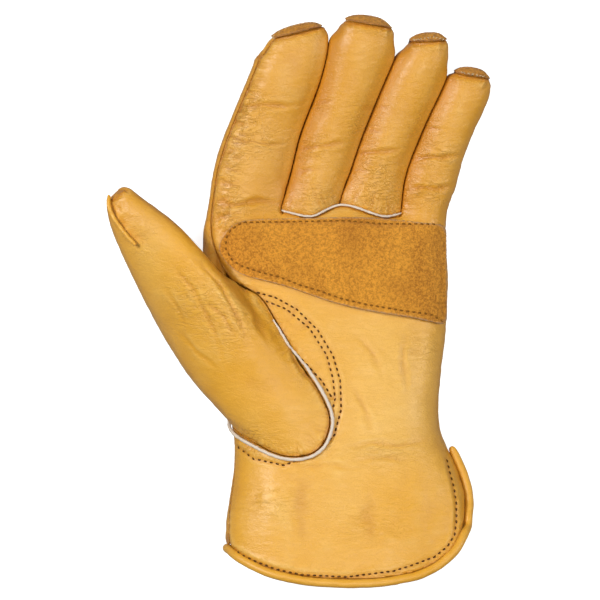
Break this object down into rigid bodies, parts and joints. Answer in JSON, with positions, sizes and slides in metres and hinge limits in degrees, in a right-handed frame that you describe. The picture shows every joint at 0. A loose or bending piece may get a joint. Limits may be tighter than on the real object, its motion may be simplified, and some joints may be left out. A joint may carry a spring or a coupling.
{
  "type": "leather work glove",
  "caption": "Left-hand leather work glove with a suede palm patch, a set-in thumb, inset middle fingers and a short rolled cuff.",
  "frame": {"origin": "under the middle of the glove's bounding box, on the flat of its back", "axes": "+X towards the little finger, +Y from the cuff to the fingertips, +Z out of the palm"},
  "size_m": [0.1728, 0.2564, 0.054],
  "materials": {
    "grain_leather": "smooth grain, soft sheen",
    "suede": "napped suede, matt",
    "cut_edge": "raw cut edge, matt"
  },
  "bodies": {
    "root": {"palm_panel": "grain_leather", "back_panel": "grain_leather", "middle_front": "grain_leather", "ring_front": "grain_leather", "thumb": "grain_leather", "cuff_binding": "grain_leather", "thumb_tip_lip": "grain_leather", "palm_patch": "suede", "index_tip": "suede", "middle_tip": "suede", "ring_tip": "suede", "little_tip": "suede", "thumb_seam_edge": "cut_edge", "finger_seam_edge": "cut_edge"}
  },
  "joints": []
}
